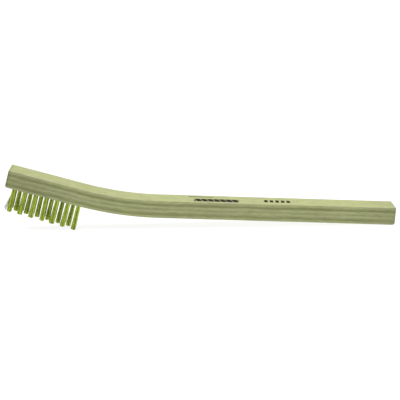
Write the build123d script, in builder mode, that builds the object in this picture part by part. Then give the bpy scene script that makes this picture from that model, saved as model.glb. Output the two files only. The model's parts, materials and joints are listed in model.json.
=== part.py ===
from build123d import *
import os
from math import asin, atan2, degrees, hypot, radians

# Small hand-held wire scratch brush, in millimetres and degrees.
#
# A strip of hardwood, bent once, is grip and head in one piece. The head carries three rows of
# tufts. Each tuft is a bundle of wires folded over a wire staple in a blind hole, and the
# staple's legs are driven into the wood above the hole.
#
# The brush stands on Z = 0 as it lies on a bench, tufts down: the last tufts of the outer rows
# and the lower corner of the grip's end touch the bench. +X runs from the head to the grip's
# end, and the origin is under the middle of the brush's length and width.

# ---- wooden block ----
block_length = 190.5      # of the straight strip before it is bent, along its middle
block_width = 11.1
block_thickness = 8.9
head_length = 36.3        # straight length that carries the tufts
bend_angle = 13.7         # the head rises by this much from the line of the grip
bend_radius = 160.5       # of the bend, to the middle of the thickness
upper_end_radius = 0.5    # rounding of the cross-cut ends, seen from the side
lower_end_radius = 1.1    # the same where the strip's underside meets them
arris_radius = 0.4        # rounding of all edges of the two sides

# ---- pattern and size of the tufts ----
outer_row_tufts = 7       # the middle row has one fewer and stands half a pitch further on
tuft_pitch = 5.3
row_spacing = 3.2
first_tuft_inset = 4.5    # from the end of the head to the first tuft of the outer rows
hole_diameter = 2.0
wood_over_holes = 3.7     # left between the bottom of a hole and the top of the block
first_trim_length = 12.0  # of the first tufts, from the wood to the tips
last_trim_length = 12.8   # of the last tufts: all tips are trimmed along one sloping line
tip_spread = 0.15         # how far the tips stand out beyond the hole's wall
tuft_clearance = 0.02     # between a bundle and what it touches
fold_rounding = 0.5       # where the wires turn back at the bottom of the hole

# ---- staples ----
staple_wire = 0.4
staple_inside_bend = 0.08  # inside radius of the two corners
fold_thickness = 0.7      # of the folded wires between crown and bottom of the hole
staple_bite = 1.6         # of the legs into the wood, beyond the bottom of the hole
staple_point = 0.1        # bevel on the tips of the legs
staple_hole_gap = 0.05    # between the staple and the wall of the tuft's hole
staple_clearance = 0.02   # between the staple and the wood or wires around it

# ---- sizes that follow ----
grip_length = block_length - head_length - bend_radius * radians(bend_angle)
hole_radius = hole_diameter / 2
hole_depth = block_thickness - wood_over_holes
tuft_radius = hole_radius - tuft_clearance
tip_radius = hole_radius + tip_spread
row_length = (outer_row_tufts - 1) * tuft_pitch
last_tuft = first_tuft_inset + row_length
trim_slope = (last_trim_length - first_trim_length) / row_length
crown_height = fold_thickness + staple_wire / 2
leg_offset = hole_radius - staple_hole_gap - staple_wire / 2
leg_cavity_radius = staple_wire / 2 + staple_clearance
staple_bend_radius = staple_wire / 2 + staple_inside_bend
fold_half_width = leg_offset - staple_bend_radius     # as wide as the crown is straight


# ---- how the brush lies ----
# Points are first written with X along the grip, the origin in the middle of the thickness
# where the bend begins. The brush then turns about Y until grip end and tufts touch the bench.
head_out = Vector(0, 0, -1).rotate(Axis.Y, bend_angle)      # the way the tufts point
head_along = Vector(1, 0, 0).rotate(Axis.Y, bend_angle)     # from the head's end to the grip
bend_centre = Vector(0, 0, bend_radius)
head_end = bend_centre + head_out * bend_radius - head_along * head_length


def on_head(distance, depth):
    """Point at a distance from the head's end and a depth below the middle of the wood."""
    return head_end + head_along * distance + head_out * depth


half_thickness = block_thickness / 2
corner_depth = half_thickness - lower_end_radius
first_tip = on_head(first_tuft_inset - tip_radius, half_thickness + first_trim_length)
resting_tip = on_head(last_tuft + tip_radius, half_thickness + last_trim_length)
grip_corner = Vector(grip_length - lower_end_radius, 0, -corner_depth)
grip_top_corner = Vector(grip_length - upper_end_radius, 0, half_thickness - upper_end_radius)
reach = grip_corner - resting_tip
rest_tilt = degrees(atan2(reach.Z, reach.X) - asin(lower_end_radius / hypot(reach.X, reach.Z)))

front_x = min(
    on_head(lower_end_radius, corner_depth).rotate(Axis.Y, rest_tilt).X - lower_end_radius,
    first_tip.rotate(Axis.Y, rest_tilt).X,
)
rear_x = grip_top_corner.rotate(Axis.Y, rest_tilt).X + upper_end_radius
bench_z = resting_tip.rotate(Axis.Y, rest_tilt).Z
standing_shift = Vector(-(front_x + rear_x) / 2, 0, -bench_z)


def placed(point, x_dir, z_dir):
    """Plane at a point of the untilted brush, turned and shifted to where the brush lies."""
    return Plane(
        origin=point.rotate(Axis.Y, rest_tilt) + standing_shift,
        x_dir=x_dir.rotate(Axis.Y, rest_tilt),
        z_dir=z_dir.rotate(Axis.Y, rest_tilt),
    )


side_view = placed(Vector(0, 0, 0), Vector(1, 0, 0), Vector(0, -1, 0))
underside = placed(on_head(0, half_thickness), head_along, head_out)
hole_bottoms = underside.offset(-hole_depth)

# Tufts by name, each with its place on the underside: X from the head's end, Y to the front.
tuft_rows = {
    "front": (outer_row_tufts, first_tuft_inset, row_spacing),
    "middle": (outer_row_tufts - 1, first_tuft_inset + tuft_pitch / 2, 0),
    "back": (outer_row_tufts, first_tuft_inset, -row_spacing),
}
tuft_places = {
    f"{row}_{number + 1}": (first + number * tuft_pitch, y)
    for row, (count, first, y) in tuft_rows.items()
    for number in range(count)
}


def make_block():
    """Bent hardwood strip with a blind hole and two staple-leg cavities for every tuft."""
    with BuildPart() as block:
        with BuildSketch(side_view):
            with BuildLine():
                grip = Line((grip_length, 0), (0, 0))
                bend = JernArc(grip @ 1, grip % 1, bend_radius, -bend_angle)
                PolarLine(bend @ 1, head_length, direction=bend % 1)
            trace(line_width=block_thickness)
        extrude(amount=block_width / 2, both=True)

        # The lower corners are the foremost and the lowest edge, the upper ones the opposite.
        corners = block.edges().filter_by(Axis.Y)
        lower_corners = [corners.sort_by(Axis.X)[0], corners.sort_by(Axis.Z)[0]]
        fillet(lower_corners, radius=lower_end_radius)
        corners = block.edges().filter_by(Axis.Y)
        upper_corners = [corners.sort_by(Axis.X)[-1], corners.sort_by(Axis.Z)[-1]]
        fillet(upper_corners, radius=upper_end_radius)
        fillet(block.faces().filter_by(Axis.Y).edges(), radius=arris_radius)

        with BuildSketch(underside):
            with Locations(*tuft_places.values()):
                Circle(hole_radius)
        extrude(amount=-hole_depth, mode=Mode.SUBTRACT)

        with BuildSketch(hole_bottoms):
            with Locations(*tuft_places.values()):
                with Locations((0, -leg_offset), (0, leg_offset)):
                    Circle(leg_cavity_radius)
        extrude(amount=-(staple_bite + staple_clearance), mode=Mode.SUBTRACT)
    return block.part


def make_tuft(seat, free_length):
    """Wire bundle whose fold lies in the hole; seat is the bottom of the hole, facing out."""
    with BuildPart() as tuft:
        with BuildSketch(seat.offset(tuft_clearance)):
            Circle(tuft_radius)
        extrude(amount=hole_depth - tuft_clearance)
        fold = tuft.edges().sort_by(Axis(seat.origin, seat.z_dir))[0]
        fillet(fold, radius=fold_rounding)
        with BuildSketch(seat.offset(hole_depth)):
            Circle(tuft_radius)
        with BuildSketch(seat.offset(hole_depth + free_length)):
            Circle(tip_radius)
        loft()

        # The fold passes between the staple's legs, so it is flat on both sides there.
        with BuildSketch(seat):
            with Locations((0, fold_half_width)):
                Rectangle(hole_diameter, hole_radius, align=(Align.CENTER, Align.MIN))
            with Locations((0, -fold_half_width)):
                Rectangle(hole_diameter, hole_radius, align=(Align.CENTER, Align.MAX))
        extrude(amount=crown_height + leg_cavity_radius, mode=Mode.SUBTRACT)

        # The staple's crown runs through the fold.
        crown_axis = seat.offset(crown_height)
        with BuildSketch(Plane(crown_axis.origin, x_dir=seat.x_dir, z_dir=seat.y_dir)):
            Circle(leg_cavity_radius)
        extrude(amount=hole_radius, both=True, mode=Mode.SUBTRACT)
    return tuft.part


def make_staple(seat):
    """U of round wire: crown across the block over the fold, legs down into the wood."""
    across = Plane(seat.origin, x_dir=seat.y_dir, z_dir=seat.x_dir)
    with BuildPart() as staple:
        with BuildLine(across) as wire:
            FilletPolyline(
                (-leg_offset, -staple_bite),
                (-leg_offset, crown_height),
                (leg_offset, crown_height),
                (leg_offset, -staple_bite),
                radius=staple_bend_radius,
            )
        with BuildSketch(Plane(wire.line @ 0, z_dir=wire.line % 0)):
            Circle(staple_wire / 2)
        sweep()
        leg_tips = staple.faces().filter_by(GeomType.PLANE)
        chamfer(leg_tips.edges(), length=staple_point)
    return staple.part


os.makedirs("parts", exist_ok=True)

brush_parts = {"handle_block": make_block()}
for name, (x, y) in tuft_places.items():
    hole_seat = Plane(
        origin=hole_bottoms.from_local_coords((x, y)),
        x_dir=hole_bottoms.x_dir,
        z_dir=hole_bottoms.z_dir,
    )
    trimmed = first_trim_length + trim_slope * (x - first_tuft_inset)
    brush_parts[f"tuft_{name}"] = make_tuft(hole_seat, trimmed)
    brush_parts[f"staple_{name}"] = make_staple(hole_seat)

for name, part in brush_parts.items():
    part.label = name
    export_step(part, f"parts/{name}.step")
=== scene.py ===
import json
import random
from math import acos, atan2, cos, pi, radians, sin, sqrt, tan

import bmesh
import bpy
import numpy as np
from bpy.props import FloatProperty, FloatVectorProperty, IntProperty, PointerProperty
from bpy.types import Operator, Panel, PropertyGroup
from mathutils import Matrix, Vector, noise


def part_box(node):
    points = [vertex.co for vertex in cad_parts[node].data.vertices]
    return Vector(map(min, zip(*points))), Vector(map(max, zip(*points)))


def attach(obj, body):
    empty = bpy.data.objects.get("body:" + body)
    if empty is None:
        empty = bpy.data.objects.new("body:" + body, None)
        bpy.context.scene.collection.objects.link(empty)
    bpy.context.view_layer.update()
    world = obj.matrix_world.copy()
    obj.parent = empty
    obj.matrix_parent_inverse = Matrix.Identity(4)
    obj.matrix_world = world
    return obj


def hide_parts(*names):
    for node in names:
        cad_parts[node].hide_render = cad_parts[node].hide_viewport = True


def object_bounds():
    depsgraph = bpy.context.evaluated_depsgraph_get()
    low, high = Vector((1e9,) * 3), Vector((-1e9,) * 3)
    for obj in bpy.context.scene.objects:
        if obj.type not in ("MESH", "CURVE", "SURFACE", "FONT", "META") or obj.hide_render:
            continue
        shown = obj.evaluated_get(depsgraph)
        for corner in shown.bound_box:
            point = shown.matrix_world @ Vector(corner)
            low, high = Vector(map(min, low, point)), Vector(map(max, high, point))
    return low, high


bl_info = {
    "name": "Wire Scratch Brush",
    "version": (1, 0, 0),
    "blender": (4, 5, 0),
    "location": "3D View > Sidebar > Wire Brush",
    "description": "Bent hardwood scratch brush with three rows of wire tufts",
    "category": "Add Mesh",
}

# A hand brush of one bent hardwood strip. All sizes are in metres, apart from the attribute
# that carries the wood's grain, which is in millimetres. The brush lies tufts down on Z = 0.

MM = 0.001
ROWS = {"front": 7, "middle": 6, "back": 7}
TUFTS = [f"{row}_{number + 1}" for row, count in ROWS.items() for number in range(count)]

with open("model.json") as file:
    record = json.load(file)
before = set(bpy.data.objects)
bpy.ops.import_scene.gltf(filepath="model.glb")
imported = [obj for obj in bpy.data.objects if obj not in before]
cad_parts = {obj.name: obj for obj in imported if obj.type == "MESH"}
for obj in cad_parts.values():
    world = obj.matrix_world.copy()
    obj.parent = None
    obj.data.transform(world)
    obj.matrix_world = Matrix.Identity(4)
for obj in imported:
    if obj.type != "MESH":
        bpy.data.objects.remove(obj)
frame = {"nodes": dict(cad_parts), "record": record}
cad_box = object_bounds()


# ---------------------------------------------------------------- settings

class BlockSettings(PropertyGroup):
    """Sizes of the wooden block that its frame doesn't state."""

    upper_end_radius: FloatProperty(
        name="Upper End Radius", description="Rounding of the cross-cut ends at the top",
        default=0.5 * MM, unit="LENGTH")
    lower_end_radius: FloatProperty(
        name="Lower End Radius", description="Rounding of the cross-cut ends at the underside",
        default=1.1 * MM, unit="LENGTH")
    arris_radius: FloatProperty(
        name="Arris Radius", description="Rounding of the long edges",
        default=0.4 * MM, unit="LENGTH")
    arris_wear: FloatProperty(
        name="Arris Wear", description="How much the rounding varies along an edge",
        default=0.2, subtype="FACTOR")
    unevenness: FloatProperty(
        name="Unevenness", description="Depth of the hollows left by sanding",
        default=0.04 * MM, unit="LENGTH")
    station_spacing: FloatProperty(
        name="Station Spacing", description="Distance between the block's cross-sections",
        default=1.0 * MM, unit="LENGTH")
    mouth_flare: FloatProperty(
        name="Mouth Flare", description="Widening of a tuft hole at the surface",
        default=0.08 * MM, unit="LENGTH")
    hole_clearance: FloatProperty(
        name="Hole Clearance", description="Between a bundle of wires and its hole",
        default=0.02 * MM, unit="LENGTH")


class WoodSettings(PropertyGroup):
    """Colours and grain of the wood."""

    pale: FloatVectorProperty(
        name="Pale Wood", description="Wood between two growth lines",
        default=(0.413, 0.450, 0.203), subtype="COLOR", min=0, max=1)
    greyish: FloatVectorProperty(
        name="Greyish Wood", description="Cooler streaks in the wood",
        default=(0.372, 0.381, 0.213), subtype="COLOR", min=0, max=1)
    late_wood: FloatVectorProperty(
        name="Late Wood", description="Growth line",
        default=(0.248, 0.272, 0.106), subtype="COLOR", min=0, max=1)
    warm: FloatVectorProperty(
        name="Warm Wood", description="Slightly redder patches",
        default=(0.442, 0.430, 0.198), subtype="COLOR", min=0, max=1)
    end_grain: FloatVectorProperty(
        name="End Grain", description="Wood of the cross-cut ends",
        default=(0.270, 0.275, 0.150), subtype="COLOR", min=0, max=1)
    fleck: FloatVectorProperty(
        name="Fleck", description="Short brown flecks and pores",
        default=(0.200, 0.160, 0.080), subtype="COLOR", min=0, max=1)
    ink: FloatVectorProperty(
        name="Ink", description="Ink of the stamped bars",
        default=(0.012, 0.010, 0.004), subtype="COLOR", min=0, max=1)
    line_wander: FloatProperty(
        name="Line Wander", description="How far growth lines stray in depth, in millimetres",
        default=0.5)
    streakiness: FloatProperty(
        name="Streakiness", description="How much streaks and fibres change the brightness",
        default=0.42)
    figure: FloatProperty(
        name="Figure", description="How much the short grain figure changes the brightness",
        default=0.90)
    # Painted shade: how much the head's sides below the top are darkened, and how much darker the
    # ends are made.
    painted_shade_and_dark_ends: FloatProperty(
        name="Soil", description="How much handling has darkened the ends and the head's sides",
        default=0.15, subtype="FACTOR")


class WireSettings(PropertyGroup):
    """Shape and colour of the wires."""

    diameter: FloatProperty(
        name="Wire Diameter", description="Diameter of one wire",
        default=0.15 * MM, unit="LENGTH")
    rings: IntProperty(
        name="Rings", description="Rings of wires around the middle one", default=6)
    sides: IntProperty(
        name="Sides", description="Sides of a wire's cross-section", default=8)
    steps: IntProperty(
        name="Steps", description="Lengthwise steps of a wire", default=13)
    inner_length: FloatProperty(
        name="Inner Length", description="Length of the wires inside the hole",
        default=3.6 * MM, unit="LENGTH")
    crimp_height: FloatProperty(
        name="Crimp Height", description="Height of the waves in a wire",
        default=0.035 * MM, unit="LENGTH")
    crimp_length: FloatProperty(
        name="Crimp Length", description="Length of one wave",
        default=4.5 * MM, unit="LENGTH")
    twist: FloatProperty(
        name="Twist", description="Turn of a bundle from its hole to its tip",
        default=radians(28), subtype="ANGLE")
    stray: FloatProperty(
        name="Stray", description="How far a wire's tip wanders from its place",
        default=0.10 * MM, unit="LENGTH")
    streaks: IntProperty(
        name="Streaks", description="Streaks of brighter wires round a bundle", default=4)
    streak_share: FloatProperty(
        name="Streak Share", description="How much of a wire's tint its streak decides",
        default=0.55, subtype="FACTOR")
    stray_tint: FloatProperty(
        name="Stray Tint", description="Brightness of the sprung wires", default=0.0)
    uneven_trim: FloatProperty(
        name="Uneven Trim", description="How much the wires of a tuft differ in length",
        default=0.16 * MM, unit="LENGTH")
    bright: FloatVectorProperty(
        name="Bright Wire", description="Cleanest wires",
        default=(0.59, 0.725, 0.110), subtype="COLOR", min=0, max=1)
    dull: FloatVectorProperty(
        name="Dull Wire", description="Darkest wires",
        default=(0.22, 0.262, 0.034), subtype="COLOR", min=0, max=1)
    cut: FloatVectorProperty(
        name="Cut End", description="Sheared end of a wire",
        default=(0.62, 0.66, 0.30), subtype="COLOR", min=0, max=1)


class StapleSettings(PropertyGroup):
    """Colours of the staples."""

    steel: FloatVectorProperty(
        name="Steel", description="Drawn steel wire",
        default=(0.52, 0.52, 0.50), subtype="COLOR", min=0, max=1)
    scratched: FloatVectorProperty(
        name="Scratched Steel", description="Darker draw marks",
        default=(0.26, 0.25, 0.24), subtype="COLOR", min=0, max=1)


class StageSettings(PropertyGroup):
    """Floor, light and camera."""

    floor_size: FloatProperty(
        name="Floor Size", description="Side of the floor", default=8.0, unit="LENGTH")
    floor: FloatVectorProperty(
        name="Floor Colour", description="Pale matt floor",
        default=(0.20, 0.20, 0.20), subtype="COLOR", min=0, max=1)
    floor_glow: FloatProperty(
        name="Floor Glow", description="Light that comes through the floor, which fills shadows",
        default=0.88)
    sun_strength: FloatProperty(
        name="Overhead Light", description="Strength of the overhead light", default=4.1)
    sun_size: FloatProperty(
        name="Light Spread", description="Angle that the overhead light fills",
        default=radians(60), subtype="ANGLE")
    sky_strength: FloatProperty(
        name="Room Light", description="Strength of the light from all round", default=0.10)
    sun_tilt: FloatVectorProperty(
        name="Light Tilt", description="Turn of the overhead light from straight down",
        default=(radians(4), radians(-6), 0), subtype="EULER")
    room_brightness: FloatProperty(
        name="Room Brightness", description="Brightness of the room where it is seen itself",
        default=0.95)
    azimuth: FloatProperty(
        name="Azimuth", description="Direction that the camera looks, from +Y towards -X",
        default=radians(-1.652), subtype="ANGLE")
    elevation: FloatProperty(
        name="Elevation", description="Height of the camera above the horizon",
        default=radians(17.675), subtype="ANGLE")
    roll: FloatProperty(
        name="Roll", description="Turn of the camera about its own line of sight",
        default=radians(-0.576), subtype="ANGLE")
    distance: FloatProperty(
        name="Distance", description="From the camera to the point it aims at",
        default=449.6 * MM, unit="LENGTH")
    aim_offset: FloatVectorProperty(
        name="Aim Offset", description="From the middle of the brush to the aimed point",
        default=(-0.97 * MM, 0, -2.64 * MM), subtype="XYZ", unit="LENGTH")
    lens: FloatProperty(name="Lens", description="Focal length, in millimetres", default=82.48)


# ---------------------------------------------------------------- the bent strip

class Strip:
    """The bent strip that the block is cut from, worked out from the frame's mounts and box.

    A place on it is (s, u, v): the distance from the head's end along the strip's middle, the
    distance across it towards +Y, and the height above its middle.
    """

    def __init__(self, end_radius):
        mounts = {m["name"]: m for m in frame["record"]["mounts"]}
        point = {name: np.array(m["pos_m"]) for name, m in mounts.items()}
        low, high = (np.array(corner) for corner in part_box("handle_block"))
        self.width = high[1] - low[1]
        self.thickness = np.linalg.norm(point["grip_top"] - point["grip_underside"])
        self.grip_up = np.array(mounts["grip_top"]["axis"])
        self.head_up = np.array(mounts["head_top"]["axis"])
        self.grip_along = self.forward(self.grip_up)
        self.head_along = self.forward(self.head_up)

        grip_middle = (point["grip_top"] + point["grip_underside"]) / 2
        head_middle = point["head_top"] - self.head_up * self.thickness / 2
        corner_height = self.thickness / 2 - end_radius
        corner_x = high[0] - end_radius - corner_height * self.grip_up[0]
        half_grip = end_radius + (corner_x - grip_middle[0]) / self.grip_along[0]

        # The middle lines of grip and head meet in a corner, which the bend rounds.
        lines = np.column_stack([self.grip_along, self.head_along])[[0, 2]]
        to_grip, to_head = np.linalg.solve(lines, (grip_middle - head_middle)[[0, 2]])
        tangent = to_grip - half_grip
        half_head = to_head - tangent
        self.turn = atan2(-self.head_along[2], self.head_along[0]) - atan2(
            -self.grip_along[2], self.grip_along[0])
        self.bend_radius = tangent / tan(self.turn / 2)
        self.bend_centre = (
            grip_middle - self.grip_along * half_grip + self.grip_up * self.bend_radius)
        self.head_length = 2 * half_head
        self.bend_end = self.head_length + self.bend_radius * self.turn
        self.length = self.bend_end + 2 * half_grip

    @staticmethod
    def forward(up):
        return np.array([up[2], 0, -up[0]])

    def up_at(self, turn):
        return np.outer(np.cos(turn), self.grip_up) + np.outer(np.sin(turn), self.grip_along)

    def place(self, s, u, v):
        """Points in the frame for arrays of places on the strip."""
        s, u, v = np.broadcast_arrays(*(np.asarray(c, float) for c in (s, u, v)))
        turn = np.clip((self.bend_end - s) / self.bend_radius, 0, self.turn)
        points = self.bend_centre - self.up_at(turn) * (self.bend_radius - v)[:, None]
        points += np.outer(np.minimum(s - self.head_length, 0), self.head_along)
        points += np.outer(np.maximum(s - self.bend_end, 0), self.grip_along)
        points[:, 1] += u
        return points

    def unbend(self, points):
        """Places on the strip, as rows of (s, u, v), for points in the frame."""
        reach = np.asarray(points, float) - self.bend_centre
        turn = np.arctan2(-reach @ self.grip_along, -reach @ self.grip_up)
        turn = np.clip(turn, 0, self.turn)
        up = self.up_at(turn)
        along = np.column_stack([up[:, 2], np.zeros(len(up)), -up[:, 0]])
        s = self.bend_end - self.bend_radius * turn + (reach * along).sum(1)
        v = self.bend_radius + (reach * up).sum(1)
        return np.column_stack([s, points[:, 1], v])

    def span(self, node):
        """Lowest and highest (s, u, v) of a CAD node."""
        places = self.unbend(mesh_points(frame["nodes"][node].data))
        return places.min(0), places.max(0)


def mesh_points(mesh):
    points = np.zeros(len(mesh.vertices) * 3)
    mesh.vertices.foreach_get("co", points)
    return points.reshape(-1, 3)


# ---------------------------------------------------------------- shader maths

class Value:
    """An output of a shader node. Arithmetic on it adds Math nodes."""

    def __init__(self, nodes, socket):
        self.nodes = nodes
        self.socket = socket

    def other(self, name):
        """Another output of the same node."""
        return Value(self.nodes, self.socket.node.outputs[name])

    def __add__(self, other):
        return self.nodes.math("ADD", self, other)

    def __sub__(self, other):
        return self.nodes.math("SUBTRACT", self, other)

    def __rsub__(self, other):
        return self.nodes.math("SUBTRACT", other, self)

    def __mul__(self, other):
        return self.nodes.math("MULTIPLY", self, other)

    def __truediv__(self, other):
        return self.nodes.math("DIVIDE", self, other)

    def __rtruediv__(self, other):
        return self.nodes.math("DIVIDE", other, self)

    __radd__ = __add__
    __rmul__ = __mul__


class Nodes:
    """The node tree of one finish, or of the room's light."""

    def __init__(self, owner):
        self.owner = owner
        self.owner.use_nodes = True
        self.tree = self.owner.node_tree
        self.tree.nodes.clear()

    def add(self, kind, settings=None, sockets=None, output=0):
        """Adds a node: its settings first, then values or links for its sockets."""
        node = self.tree.nodes.new(kind)
        for name, setting in (settings or {}).items():
            setattr(node, name, setting)
        for key, filling in (sockets or {}).items():
            if isinstance(filling, Value):
                self.tree.links.new(filling.socket, node.inputs[key])
            else:
                node.inputs[key].default_value = filling
        return Value(self, node.outputs[output]) if node.outputs else None

    def math(self, operation, *operands):
        return self.add("ShaderNodeMath", {"operation": operation}, dict(enumerate(operands)))

    def attribute(self, name, output):
        settings = {"attribute_type": "GEOMETRY", "attribute_name": name}
        return self.add("ShaderNodeAttribute", settings, output=output)

    def split(self, vector):
        x = self.add("ShaderNodeSeparateXYZ", {}, {"Vector": vector})
        return x, x.other("Y"), x.other("Z")

    def noise(self, vector, stretch, detail=2.0, roughness=0.5):
        """Noise from 0 to 1; stretch is how often it changes along each axis."""
        operation = {"operation": "MULTIPLY"}
        scaled = self.add("ShaderNodeVectorMath", operation, {0: vector, 1: stretch})
        sockets = {"Vector": scaled, "Scale": 1.0, "Detail": detail, "Roughness": roughness}
        return self.add("ShaderNodeTexNoise", {}, sockets)

    def step(self, value, low, high):
        """0 below low, 1 above high, smooth between; or the reverse if low is above high."""
        sockets = {"Value": value, "From Min": low, "From Max": high}
        return self.add("ShaderNodeMapRange", {"interpolation_type": "SMOOTHSTEP"}, sockets)

    def mix(self, factor, a, b, blend="MIX"):
        """Colour a turned into colour b by factor."""
        sockets = {0: factor, 6: as_colour(a), 7: as_colour(b)}
        settings = {"data_type": "RGBA", "blend_type": blend}
        return self.add("ShaderNodeMix", settings, sockets, output=2)

    def bump(self, height, strength, distance):
        sockets = {"Height": height, "Strength": strength, "Distance": distance}
        return self.add("ShaderNodeBump", {}, sockets)

    def finish(self, sockets):
        """Closes the tree with the shader and returns the material."""
        shader = self.add("ShaderNodeBsdfPrincipled", {}, sockets)
        self.add("ShaderNodeOutputMaterial", {}, {"Surface": shader})
        return self.owner


def as_colour(value):
    return value if isinstance(value, Value) else (*value, 1.0)


# ---------------------------------------------------------------- finishes

# The wood's growth lines on the sides. Each darkens slowly from its start, keeps its darkness
# from "full" to "fading" and is gone soon after. Depths are below the top, in millimetres.
GROWTH_LINES = (
    {"start": 0.8, "full": 2.1, "fading": 2.4, "gone": 3.1, "darkness": 1.0},
    {"start": 3.4, "full": 4.5, "fading": 4.6, "gone": 5.2, "darkness": 0.5},
    {"start": 5.4, "full": 6.9, "fading": 7.1, "gone": 8.2, "darkness": 0.9},
)


# Marks of the stamp on the top of the grip, in millimetres: s from the head's end, u from
# mid-width. The filled share of one pitch makes a bar or a square.
STAMP_BARS = {"s": (91.5, 113.4), "u": (-4.3, -0.2), "pitch": 3.0, "filled": (0.03, 0.93)}
STAMP_BAR_SLANT = 0.3
STAMP_SQUARES = {"s": (125.7, 139.2), "u": (-2.7, 0.8), "pitch": 2.75, "filled": (0.10, 0.72)}
STAMP_RULE = {"s": (89.0, 101.0), "u": (2.4, 3.2)}
STAMP_RULE_STRENGTH = 0.85


def stamp_mask(nodes, s, u):
    """1 where the ink of the two plain stamps lies on the top of the grip."""
    def band(value, limits, soft):
        low, high = limits
        rising = nodes.step(value, low - soft, low + soft)
        return rising * nodes.step(value, high + soft, high - soft)

    def repeated(marks, along, soft):
        return band(nodes.math("FRACT", (along - marks["s"][0]) / marks["pitch"]),
                    marks["filled"], soft)

    bars = repeated(STAMP_BARS, s + u * STAMP_BAR_SLANT, 0.03)
    bars = bars * band(u, STAMP_BARS["u"], 0.12) * band(s, STAMP_BARS["s"], 0.15)
    squares = repeated(STAMP_SQUARES, s, 0.05)
    squares = squares * band(u, STAMP_SQUARES["u"], 0.12) * band(s, STAMP_SQUARES["s"], 0.1)
    rule = band(u, STAMP_RULE["u"], 0.1) * band(s, STAMP_RULE["s"], 0.2) * STAMP_RULE_STRENGTH
    return nodes.math("MAXIMUM", nodes.math("MAXIMUM", bars, rule), squares)


def make_wood(wood, strip):
    """Pale hardwood: growth lines on the sides, fine fibre, flecks, end grain and a stamp, with
    darker ends and painted shade on the head's sides.
    """
    nodes = Nodes(bpy.data.materials.new("pale_hardwood"))
    grain = nodes.attribute("grain", "Vector")
    s, u, v = nodes.split(grain)
    half_thickness = strip.thickness / MM / 2
    half_width = strip.width / MM / 2
    length = strip.length / MM

    # Growth lines follow the depth below the top, and bow up a little in mid-width.
    wander = nodes.noise(grain, (0.045, 0.35, 0.35), detail=2.0) - 0.5
    bow = (u * u - half_width ** 2) * 0.02
    near_head = nodes.step(s, 36.0, 8.0)
    depth = half_thickness - v + bow + wander * wood.line_wander * 2 - near_head * 0.2
    late = sum(
        nodes.step(depth, line["start"], line["full"])
        * nodes.step(depth, line["gone"], line["fading"]) * line["darkness"]
        for line in GROWTH_LINES)
    patchy = nodes.noise(grain, (0.08, 0.6, 0.6), detail=2.0)
    late = late * (0.70 + patchy * 0.6)

    streaks = nodes.noise(grain, (0.035, 1.6, 1.6), detail=3.0, roughness=0.6)
    fibres = nodes.noise(grain, (0.30, 9.0, 9.0), detail=3.0, roughness=0.65)
    clouds = nodes.noise(grain, (0.07, 0.45, 0.45), detail=2.0)
    figure = nodes.noise(grain, (0.22, 1.7, 1.7), detail=3.0, roughness=0.7)
    blush = nodes.step(nodes.noise(grain, (0.13, 0.8, 0.8), detail=3.0), 0.50, 0.72)

    base = nodes.mix(nodes.step(streaks * 0.5 + clouds * 0.5, 0.40, 0.66), wood.pale, wood.greyish)
    base = nodes.mix(blush * 0.6, base, wood.warm)
    colour = nodes.mix(nodes.math("MINIMUM", late, 1.0), base, wood.late_wood)
    flecks = nodes.step(nodes.noise(grain, (0.45, 5.0, 5.0), detail=1.0), 0.70, 0.78)
    pores = nodes.step(nodes.noise(grain, (0.9, 14.0, 14.0), detail=1.0), 0.69, 0.76)
    colour = nodes.mix(flecks * 0.35 + pores * 0.25, colour, wood.fleck)

    head_cut = nodes.step(s, 0.45, 0.15)
    grip_cut = nodes.step(s, length - 0.45, length - 0.15)
    end = nodes.math("MAXIMUM", head_cut, grip_cut)
    end_pores = nodes.step(nodes.noise(grain, (1.0, 7.0, 7.0), detail=2.0), 0.55, 0.68)
    colour = nodes.mix(end * 0.8, colour, wood.end_grain)
    colour = nodes.mix(end * end_pores * 0.5, colour, wood.fleck)

    # Streaks and figure change the brightness of everything so far. The ends are made darker, and
    # painted shade darkens the head's sides below the top.
    below_top = nodes.step(half_thickness - v, 0.2, 0.8)
    near_grip_end = nodes.step(s, length - 16, length - 3)
    rims = nodes.step(s, 1.8, 0.5) + nodes.step(s, length - 1.4, length - 0.4) * 0.5
    # Painted shade on the head's sides below the top; the grip's last part and the rims at both
    # ends are darker too.
    painted_shade_and_dark_ends = near_head * below_top + near_grip_end * 0.55 + rims
    shade = 1 + (streaks + fibres * 0.6 + clouds * 0.6 - 1.1) * wood.streakiness
    shade = shade + (figure - 0.5) * wood.figure - painted_shade_and_dark_ends * wood.painted_shade_and_dark_ends
    shade = nodes.add("ShaderNodeCombineColor", {}, {0: shade, 1: shade, 2: shade})
    colour = nodes.mix(1.0, colour, shade, "MULTIPLY")

    top = nodes.step(v, half_thickness - 0.12, half_thickness - 0.06)
    worn = nodes.step(nodes.noise(grain, (0.8, 3.0, 3.0), detail=3.0), 0.30, 0.45) * 0.12 + 0.87
    ink = stamp_mask(nodes, s, u) * top * worn
    colour = nodes.mix(ink, colour, wood.ink)

    relief = fibres * 0.6 + streaks * 0.4 - pores * 0.5 - late * 0.3 - end * end_pores * 0.6
    return nodes.finish({
        "Base Color": colour,
        "Roughness": 0.62 + fibres * 0.16 - ink * 0.15,
        "Specular IOR Level": 0.35,
        "Normal": nodes.bump(relief, 0.35, 0.08 * MM),
    })


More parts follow.
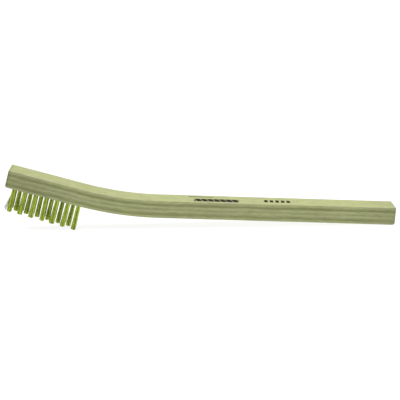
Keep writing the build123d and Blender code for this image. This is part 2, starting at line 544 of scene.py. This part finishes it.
def make_wire_finish(wire):
    """Drawn copper-alloy wire, each one a little brighter or duller, with sheared ends."""
    nodes = Nodes(bpy.data.materials.new("drawn_wire"))
    tint = nodes.attribute("tint", "Fac")
    cut = nodes.attribute("cut", "Fac")
    place = nodes.add("ShaderNodeTexCoord", output="Object")
    drawn = nodes.noise(place, (2500.0, 2500.0, 700.0), detail=2.0)
    tarnish = nodes.noise(place, (420.0, 420.0, 260.0), detail=3.0, roughness=0.6)
    brightness = nodes.step(tint * 0.65 + tarnish * 0.5 + drawn * 0.2, 0.30, 1.0)
    colour = nodes.mix(brightness, wire.dull, wire.bright)
    colour = nodes.mix(cut, colour, wire.cut)
    return nodes.finish({
        "Base Color": colour,
        "Metallic": 0.80,
        "Roughness": 0.44 - brightness * 0.14 + cut * 0.1,
        "Normal": nodes.bump(drawn, 0.25, 0.01 * MM),
    })


def make_staple_steel(staple):
    """Drawn steel wire with dull draw marks."""
    nodes = Nodes(bpy.data.materials.new("staple_steel"))
    place = nodes.add("ShaderNodeTexCoord", output="Object")
    marks = nodes.noise(place, (3000.0, 500.0, 3000.0), detail=3.0)
    colour = nodes.mix(nodes.step(marks, 0.35, 0.7), staple.steel, staple.scratched)
    return nodes.finish({
        "Base Color": colour,
        "Metallic": 0.95,
        "Roughness": 0.30 + marks * 0.25,
        "Normal": nodes.bump(marks, 0.3, 0.01 * MM),
    })


def make_floor_finish(stage):
    """Even matt paper."""
    nodes = Nodes(bpy.data.materials.new("pale_floor"))
    place = nodes.add("ShaderNodeTexCoord", output="Object")
    fibre = nodes.noise(place, (900.0, 900.0, 900.0), detail=2.0)
    soft = nodes.mix(fibre * 0.03, stage.floor, [c * 0.9 for c in stage.floor])
    return nodes.finish({
        "Base Color": soft,
        "Roughness": 0.9,
        "Specular IOR Level": 0.1,
        "Emission Color": (1, 1, 1, 1),
        "Emission Strength": stage.floor_glow,
    })


# ---------------------------------------------------------------- meshes

def add_object(name, mesh, material=None):
    piece = bpy.data.objects.new(name, mesh)
    bpy.context.scene.collection.objects.link(piece)
    if material:
        mesh.materials.append(material)
    return piece


def mesh_of(name, points, faces):
    mesh = bpy.data.meshes.new(name)
    mesh.from_pydata([tuple(p) for p in points], [], faces)
    mesh.validate()
    return mesh


def face_outwards(mesh, weld=0.0):
    """Turns all faces outwards, after welding points that are closer than a distance."""
    clean = bmesh.new()
    clean.from_mesh(mesh)
    if weld:
        bmesh.ops.remove_doubles(clean, verts=clean.verts, dist=weld)
    bmesh.ops.recalc_face_normals(clean, faces=clean.faces)
    clean.to_mesh(mesh)
    clean.free()


def shade_smooth(mesh, sharpest):
    """Smooth shading, apart from edges that turn by more than an angle."""
    mesh.polygons.foreach_set("use_smooth", np.ones(len(mesh.polygons), bool))
    mesh.set_sharp_from_angle(angle=sharpest)


def tube_faces(rings, sides, start=0):
    """Faces of a closed tube whose rings of points follow each other from start."""
    faces = []
    for ring in range(rings - 1):
        low = start + ring * sides
        for side in range(sides):
            after = (side + 1) % sides
            faces.append((low + side, low + after, low + sides + after, low + sides + side))
    last = start + (rings - 1) * sides
    faces.append(tuple(range(start + sides - 1, start - 1, -1)))
    faces.append(tuple(range(last, last + sides)))
    return faces


def arris_curve(strip, from_end, arris, end_radius, steps):
    """Points (u, v) round one arris of the cross-section at a distance from the strip's end."""
    sweep = acos(1 - min(from_end, arris) / arris)
    curve = []
    for step in range(steps + 1):
        angle = sweep * step / steps
        inset = arris * (1 - cos(angle))
        rounding = end_radius - inset
        back = max(end_radius - from_end, 0)
        fall = rounding - sqrt(max(rounding ** 2 - back ** 2, 0))
        curve.append((
            strip.width / 2 - arris + arris * sin(angle),
            strip.thickness / 2 - inset - fall,
        ))
    return curve


def between(start, end, steps):
    """Points between two ends, leaving both out."""
    return [
        (start[0] + (end[0] - start[0]) * k / steps, start[1] + (end[1] - start[1]) * k / steps)
        for k in range(1, steps)
    ]


def cross_section(strip, from_end, arrises, block):
    """Closed ring of points (u, v), with one rounding for each of the four arrises."""
    steps, across, down = 5, 12, 9
    turned = [(1, 1), (1, -1), (-1, -1), (-1, 1)]
    corners = []
    for (side, top), arris in zip(turned, arrises):
        end_radius = block.upper_end_radius if top > 0 else block.lower_end_radius
        curve = arris_curve(strip, from_end, arris, end_radius, steps)
        curve = [(u * side, v * top) for u, v in curve]
        corners.append(curve if side == top else curve[::-1])
    ring = []
    for index, corner in enumerate(corners):
        following = corners[(index + 1) % 4]
        ring += corner + between(corner[-1], following[0], down if index % 2 == 0 else across)
    return ring


# Lengths over which the wood's wear and hollows change, and a noise layer for each side.
WEAR_LENGTH = 9 * MM
HOLLOW_LENGTH = 14 * MM
HOLLOW_WIDTH = 5 * MM
HOLLOW_LAYERS = {"back": 3.1, "front": 9.4, "top": 5.2, "underside": 1.8}
END_STEPS = 9      # cross-sections in the rounding of each end
HOLE_SIDES = 40
LEG_SIDES = 16


def hollow(s, across, side):
    """Share of the unevenness at a place on one of the strip's four sides."""
    layer = HOLLOW_LAYERS[side]
    return 0.5 + noise.noise(Vector((s / HOLLOW_LENGTH, across / HOLLOW_WIDTH, layer))) / 2


def block_mesh(strip, block):
    """The strip with rounded arrises and ends, and the slight hollows of hand sanding."""
    rounded = block.lower_end_radius
    rounding = [rounded * (1 - cos(pi / 2 * k / END_STEPS)) for k in range(END_STEPS + 1)]
    middle = strip.length - 2 * rounded
    count = round(middle / block.station_spacing)
    stations = rounding[:-1] + [rounded + middle * k / count for k in range(count + 1)]
    stations += [strip.length - x for x in rounding[-2::-1]]

    rings = []
    for s in stations:
        from_end = min(s, strip.length - s)
        wears = [noise.noise(Vector((s / WEAR_LENGTH, 7.3 * k, 1.7))) for k in range(4)]
        arrises = [block.arris_radius * (1 + block.arris_wear * wear) for wear in wears]
        arrises = [min(arris, block.upper_end_radius * 0.98) for arris in arrises]
        for u, v in cross_section(strip, from_end, arrises, block):
            hollow_u = block.unevenness * hollow(s, v, "back" if u > 0 else "front")
            hollow_v = block.unevenness * hollow(s, u, "top" if v > 0 else "underside")
            u *= 1 - 2 * hollow_u / strip.width
            v *= 1 - 2 * hollow_v / strip.thickness
            rings.append((s, u, v))
    places = np.array(rings)
    sides = len(places) // len(stations)
    mesh = mesh_of("handle_block_wood", strip.place(*places.T), tube_faces(len(stations), sides))
    face_outwards(mesh, weld=0.002 * MM)
    return mesh


def drill(strip, levels, s, u, sides):
    """Points of a drill bit that stands across the strip; levels are pairs of (v, radius)."""
    angles = np.arange(sides) * 2 * pi / sides
    rings = [
        strip.place(s + radius * np.cos(angles), u + radius * np.sin(angles), v)
        for v, radius in levels
    ]
    return np.concatenate(rings)


def join_bits(name, bits, levels, sides):
    faces = []
    for index in range(len(bits)):
        faces += tube_faces(levels, sides, index * levels * sides)
    mesh = mesh_of(name, np.concatenate(bits), faces)
    face_outwards(mesh)
    return add_object(name, mesh)


def hole_bits(strip, block):
    """One drill bit for each tuft, flared where it leaves the wood."""
    mouth = -strip.thickness / 2
    bits = []
    for tuft in TUFTS:
        low, high = strip.span(f"tuft_{tuft}")
        s, u = (low[:2] + high[:2]) / 2
        radius = bundle_radius(strip, tuft) + block.hole_clearance
        wide = radius + block.mouth_flare
        bottom = high[2] + block.hole_clearance
        levels = [
            (mouth - 0.5 * MM, wide),
            (mouth + 0.02 * MM, wide),
            (mouth + 0.2 * MM, radius),
            (bottom, radius),
        ]
        bits.append(drill(strip, levels, s, u, HOLE_SIDES))
    return join_bits("hole_bits", bits, len(levels), HOLE_SIDES)


def leg_bits(strip, block):
    """Cavities that the staples' legs stand in, above the bottom of each hole."""
    bits = []
    for tuft in TUFTS:
        low, high = strip.span(f"staple_{tuft}")
        radius = (high[0] - low[0]) / 2
        s = (low[0] + high[0]) / 2
        bottom = strip.span(f"tuft_{tuft}")[1][2]
        loose = radius + block.hole_clearance
        levels = [(bottom - 0.1 * MM, loose), (high[2] + block.hole_clearance, loose)]
        for u in (low[1] + radius, high[1] - radius):
            bits.append(drill(strip, levels, s, u, LEG_SIDES))
    return join_bits("leg_bits", bits, len(levels), LEG_SIDES)


def bundle_radius(strip, tuft):
    """Radius of a bundle where it stands in its hole."""
    places = strip.unbend(mesh_points(frame["nodes"][f"tuft_{tuft}"].data))
    inside = places[places[:, 2] > -strip.thickness / 2 + 0.1 * MM]
    return (inside[:, 0].max() - inside[:, 0].min()) / 2


def tuft_stand(strip, tuft):
    """Middle (s, u) of a tuft, height of the wood's underside, trim, and radius at the tips."""
    low, high = strip.span(f"tuft_{tuft}")
    mouth = -strip.thickness / 2
    return (low[:2] + high[:2]) / 2, mouth, mouth - low[2], (high[0] - low[0]) / 2


def wire_places(radius, wire, dice):
    """Places of the wires in a bundle, packed as closely as the radius allows."""
    pitch = (radius - wire.diameter / 2) / wire.rings
    places = [(0.0, 0.0)]
    for ring in range(1, wire.rings + 1):
        for k in range(6 * ring):
            angle = 2 * pi * (k + dice.uniform(-0.18, 0.18)) / (6 * ring) + 0.3 * ring
            reach = ring * pitch * dice.uniform(0.97, 1.0)
            places.append((reach * cos(angle), reach * sin(angle)))
    return places


# How each tuft stands: lean of its tips along the head and across it, how far the tips
# spread over the CAD bundle's, and extra twist as a share of the usual one.
TUFT_HABITS = {
    "front_1": (0.05, 0.00, 0.00, 1.0),
    "front_2": (-0.05, 0.05, 0.20, 1.5),
    "front_3": (0.05, 0.00, 0.10, 1.2),
    "front_4": (0.25, -0.05, 0.00, 0.8),
    "front_5": (-0.15, 0.00, 0.45, 1.3),
    "front_6": (-0.10, 0.05, 0.00, 1.0),
    "front_7": (0.15, 0.00, 0.05, 1.1),
    "middle_1": (0.15, 0.10, 0.05, 0.3),
    "middle_3": (0.15, 0.00, 0.00, 0.2),
    "middle_6": (0.00, 0.00, 0.00, 0.3),
}


def wire_points(tuft, strip, wire, dice):
    """Middle lines of a tuft's wires as arrays of (s, u, v), and each wire's tint."""
    centre, mouth, trim, tip_radius = tuft_stand(strip, tuft)
    radius = bundle_radius(strip, tuft)
    spread = tip_radius / radius
    usual = (dice.uniform(-0.1, 0.1), dice.uniform(-0.1, 0.1), 0.0, dice.uniform(-0.4, 0.6))
    lean_s, lean_u, fuller, twist = TUFT_HABITS.get(tuft, usual)
    lean = np.array([lean_s, lean_u]) * MM
    flow = dice.uniform(0, 2 * pi)
    steps = np.linspace(0, 1, wire.steps + 1)
    lines, tints = [], []
    for x, y in wire_places(radius, wire, dice):
        short = abs(dice.gauss(0, wire.uneven_trim))
        length = wire.inner_length + trim - short
        along = steps * length - wire.inner_length
        free = np.clip(along / trim, 0, 1)
        widening = 1 + (spread - 1) * free + fuller * np.sin(free * pi / 2) ** 2 * 0.35
        angle = wire.twist * twist * free
        reach_s = (x * np.cos(angle) - y * np.sin(angle)) * widening
        reach_u = (x * np.sin(angle) + y * np.cos(angle)) * widening
        phase = flow + dice.uniform(-0.9, 0.9)
        wave = np.sin(2 * pi * along / wire.crimp_length + phase) * np.clip(free * 4, 0, 1)
        wave *= wire.crimp_height
        facing = dice.uniform(0, 2 * pi)
        wander = np.array([dice.gauss(0, wire.stray), dice.gauss(0, wire.stray)])
        bent_s, bent_u = np.outer(lean + wander, free ** 2)
        s = centre[0] + reach_s + bent_s + wave * cos(facing)
        u = centre[1] + reach_u + bent_u + wave * sin(facing)
        lines.append(np.column_stack([s, u, mouth - along]))
        # Neighbours in a bundle were drawn from the same coil, so tints run in streaks.
        streak = 0.5 + 0.5 * sin(atan2(y, x) * wire.streaks + flow * wire.streaks)
        tints.append(streak * wire.streak_share + dice.random() * (1 - wire.streak_share))
    return lines, tints


# Wires that have sprung out of a tuft: how far their tips reach towards the head's end, in
# millimetres, their length as a share of the trim, and how far they stand aside.
SPRUNG_TUFT = "front_1"
SPRUNG_WIRES = (
    (2.40, 0.86, -0.20), (2.26, 0.88, -0.05), (2.12, 0.91, -0.15),
    (1.60, 0.97, 0.30), (1.47, 0.95, 0.20), (1.34, 0.98, 0.25), (0.90, 1.00, -0.50),
)


def stray_points(tuft, strip, wire):
    """Middle lines of the wires that have sprung out of a tuft."""
    centre, mouth, trim, _ = tuft_stand(strip, tuft)
    steps = np.linspace(0, 1, wire.steps + 1)
    lines = []
    for reach, share, sideways in SPRUNG_WIRES:
        along = steps * (wire.inner_length + trim * share) - wire.inner_length
        free = np.clip(along / trim, 0, 1)
        spring = np.clip((free - 0.15) / 0.85, 0, 1) ** 1.3
        s = centre[0] - 0.7 * MM - reach * MM * spring
        u = centre[1] + sideways * MM * (0.5 + spring)
        lines.append(np.column_stack([s, u, mouth - along]))
    return lines


def wire_mesh(name, lines, wire_tints, strip, wire, dice):
    """Closed round wires along the lines, with each one's tint and its cut end as attributes."""
    radius = wire.diameter / 2
    angles = np.arange(wire.sides) * 2 * pi / wire.sides
    points, faces, tints, cuts = [], [], [], []
    for line, tint in zip(lines, wire_tints):
        path = strip.place(*line.T)
        heading = path[-1] - path[-2]
        heading /= np.linalg.norm(heading)
        # A wire is cut where it would reach the bench, and its end has a ring of its own.
        overshoot = radius * 1.1 - path[-1][2]
        if overshoot > 0:
            path[-1] += heading * overshoot / heading[2]
        path = np.vstack([path[:-1], path[-1] - heading * 0.03 * MM, path[-1]])
        tangents = np.gradient(path, axis=0)
        tangents /= np.linalg.norm(tangents, axis=1)[:, None]
        side = np.cross(tangents, (0, 1, 0))
        side /= np.linalg.norm(side, axis=1)[:, None]
        third = np.cross(tangents, side)
        turn = dice.uniform(0, pi)
        rings = [
            p + radius * (np.outer(np.cos(angles + turn), a) + np.outer(np.sin(angles + turn), b))
            for p, a, b in zip(path, side, third)
        ]
        faces += tube_faces(len(rings), wire.sides, len(tints))
        points += rings
        tints += [tint] * (len(rings) * wire.sides)
        cuts += [0.0] * ((len(rings) - 1) * wire.sides) + [1.0] * wire.sides
    mesh = mesh_of(name, np.concatenate(points), faces)
    for attribute, values in (("tint", tints), ("cut", cuts)):
        layer = mesh.attributes.new(attribute, "FLOAT", "POINT")
        layer.data.foreach_set("value", np.array(values, np.float32))
    shade_smooth(mesh, radians(60))
    return mesh


# ---------------------------------------------------------------- operators

class BrushOperator(Operator):
    """Shared by the steps that build the brush."""

    bl_options = {"REGISTER", "UNDO"}

    @staticmethod
    def strip(context):
        return Strip(context.scene.wire_brush_block.upper_end_radius)

    @staticmethod
    def fit(piece, node, slot):
        """Attaches a piece to the root body and hides the CAD node that it stands for."""
        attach(piece, "root")
        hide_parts(node)


class WIREBRUSH_OT_add_block(BrushOperator):
    """Shape, bend and drill the hardwood block"""

    bl_idname = "wire_brush.add_block"
    bl_label = "Wooden Block"

    def execute(self, context):
        block, wood = context.scene.wire_brush_block, context.scene.wire_brush_wood
        strip = self.strip(context)
        piece = add_object("wooden_block", block_mesh(strip, block), make_wood(wood, strip))
        bits = [hole_bits(strip, block), leg_bits(strip, block)]
        for bit in bits:
            cut = piece.modifiers.new(bit.name, "BOOLEAN")
            cut.operation = "DIFFERENCE"
            cut.solver = "EXACT"
            cut.object = bit
        plain = piece.data
        context.view_layer.update()
        drilled = piece.evaluated_get(context.evaluated_depsgraph_get())
        piece.data = bpy.data.meshes.new_from_object(drilled)
        piece.modifiers.clear()
        piece.data.name = plain.name
        bpy.data.meshes.remove(plain)
        for bit in bits:
            bpy.data.objects.remove(bit)

        mesh = piece.data
        grain = mesh.attributes.new("grain", "FLOAT_VECTOR", "POINT")
        places = strip.unbend(mesh_points(mesh)) / MM
        grain.data.foreach_set("vector", places.astype(np.float32).ravel())
        shade_smooth(mesh, radians(38))
        self.fit(piece, "handle_block", "block_wood")
        return {"FINISHED"}


class WIREBRUSH_OT_add_tufts(BrushOperator):
    """Fill every hole with its bundle of wires"""

    bl_idname = "wire_brush.add_tufts"
    bl_label = "Wire Tufts"

    def execute(self, context):
        wire = context.scene.wire_brush_wire
        strip = self.strip(context)
        finish = make_wire_finish(wire)
        for number, tuft in enumerate(TUFTS):
            dice = random.Random(100 + number)
            lines, tints = wire_points(tuft, strip, wire, dice)
            if tuft == SPRUNG_TUFT:
                strays = stray_points(tuft, strip, wire)
                lines += strays
                tints += [wire.stray_tint] * len(strays)
            mesh = wire_mesh(f"wires_{tuft}", lines, tints, strip, wire, dice)
            piece = add_object(f"wires_{tuft}", mesh, finish)
            self.fit(piece, f"tuft_{tuft}", "tuft_wire")
        return {"FINISHED"}


class WIREBRUSH_OT_finish_staples(BrushOperator):
    """Give the staples their drawn steel finish"""

    bl_idname = "wire_brush.finish_staples"
    bl_label = "Staple Finish"

    def execute(self, context):
        steel = make_staple_steel(context.scene.wire_brush_staple)
        for tuft in TUFTS:
            for place in frame["nodes"][f"staple_{tuft}"].material_slots:
                place.material = steel
        return {"FINISHED"}


class WIREBRUSH_OT_add_stage(Operator):
    """Add the pale floor, the soft overhead light and the camera"""

    bl_idname = "wire_brush.add_stage"
    bl_label = "Stage"

    def execute(self, context):
        stage = context.scene.wire_brush_stage
        half = stage.floor_size / 2
        corners = [(-half, -half, 0), (half, -half, 0), (half, half, 0), (-half, half, 0)]
        mesh = mesh_of("floor", corners, [(0, 1, 2, 3)])
        floor = add_object("floor", mesh, make_floor_finish(stage))

        sun = bpy.data.lights.new("overhead", "SUN")
        sun.energy = stage.sun_strength
        sun.angle = stage.sun_size
        lamp = add_object("overhead", sun)
        lamp.rotation_euler = stage.sun_tilt

        room = Nodes(bpy.data.worlds.new("pale_room"))
        seen = room.add("ShaderNodeLightPath", output="Is Camera Ray")
        strength = room.add("ShaderNodeMapRange", {}, {
            "Value": seen, "To Min": stage.sky_strength, "To Max": stage.room_brightness})
        light = room.add("ShaderNodeBackground", {}, {
            "Color": (1, 1, 1, 1), "Strength": strength})
        room.add("ShaderNodeOutputWorld", {}, {"Surface": light})
        context.scene.world = room.owner

        aim = (cad_box[0] + cad_box[1]) / 2 + Vector(stage.aim_offset)
        a, e = stage.azimuth, stage.elevation
        back = Vector((sin(a) * cos(e), -cos(a) * cos(e), sin(e)))
        lens = bpy.data.cameras.new("camera")
        lens.lens = stage.lens
        lens.sensor_width = 36
        lens.clip_start = 0.01
        lens.clip_end = 50
        camera = add_object("camera", lens)
        facing = back.to_track_quat("Z", "Y").to_matrix().to_4x4()
        turned = facing @ Matrix.Rotation(stage.roll, 4, "Z")
        camera.matrix_world = Matrix.Translation(aim + back * stage.distance) @ turned
        context.scene.camera = camera
        context.scene.view_settings.view_transform = "Standard"
        return {"FINISHED"}


# ---------------------------------------------------------------- panel and registration

STEPS = (
    WIREBRUSH_OT_add_stage,
    WIREBRUSH_OT_add_block,
    WIREBRUSH_OT_add_tufts,
    WIREBRUSH_OT_finish_staples,
)
SETTINGS = {
    "wire_brush_block": BlockSettings,
    "wire_brush_wood": WoodSettings,
    "wire_brush_wire": WireSettings,
    "wire_brush_staple": StapleSettings,
    "wire_brush_stage": StageSettings,
}


class WIREBRUSH_PT_sidebar(Panel):
    """Steps and settings of the wire brush"""

    bl_label = "Wire Brush"
    bl_idname = "WIREBRUSH_PT_sidebar"
    bl_space_type = "VIEW_3D"
    bl_region_type = "UI"
    bl_category = "Wire Brush"

    def draw(self, context):
        for step in STEPS:
            self.layout.operator(step.bl_idname)
        for name, settings in SETTINGS.items():
            box = self.layout.box()
            for key in settings.__annotations__:
                box.prop(getattr(context.scene, name), key)


def register():
    for settings in SETTINGS.values():
        bpy.utils.register_class(settings)
    for name, settings in SETTINGS.items():
        setattr(bpy.types.Scene, name, PointerProperty(type=settings))
    for kind in (*STEPS, WIREBRUSH_PT_sidebar):
        bpy.utils.register_class(kind)


def unregister():
    for kind in (WIREBRUSH_PT_sidebar, *reversed(STEPS)):
        bpy.utils.unregister_class(kind)
    for name in SETTINGS:
        delattr(bpy.types.Scene, name)
    for settings in reversed(SETTINGS.values()):
        bpy.utils.unregister_class(settings)


def main():
    register()
    bpy.ops.wire_brush.add_stage()
    bpy.ops.wire_brush.add_block()
    bpy.ops.wire_brush.add_tufts()
    bpy.ops.wire_brush.finish_staples()


if __name__ == "__main__":
    main()
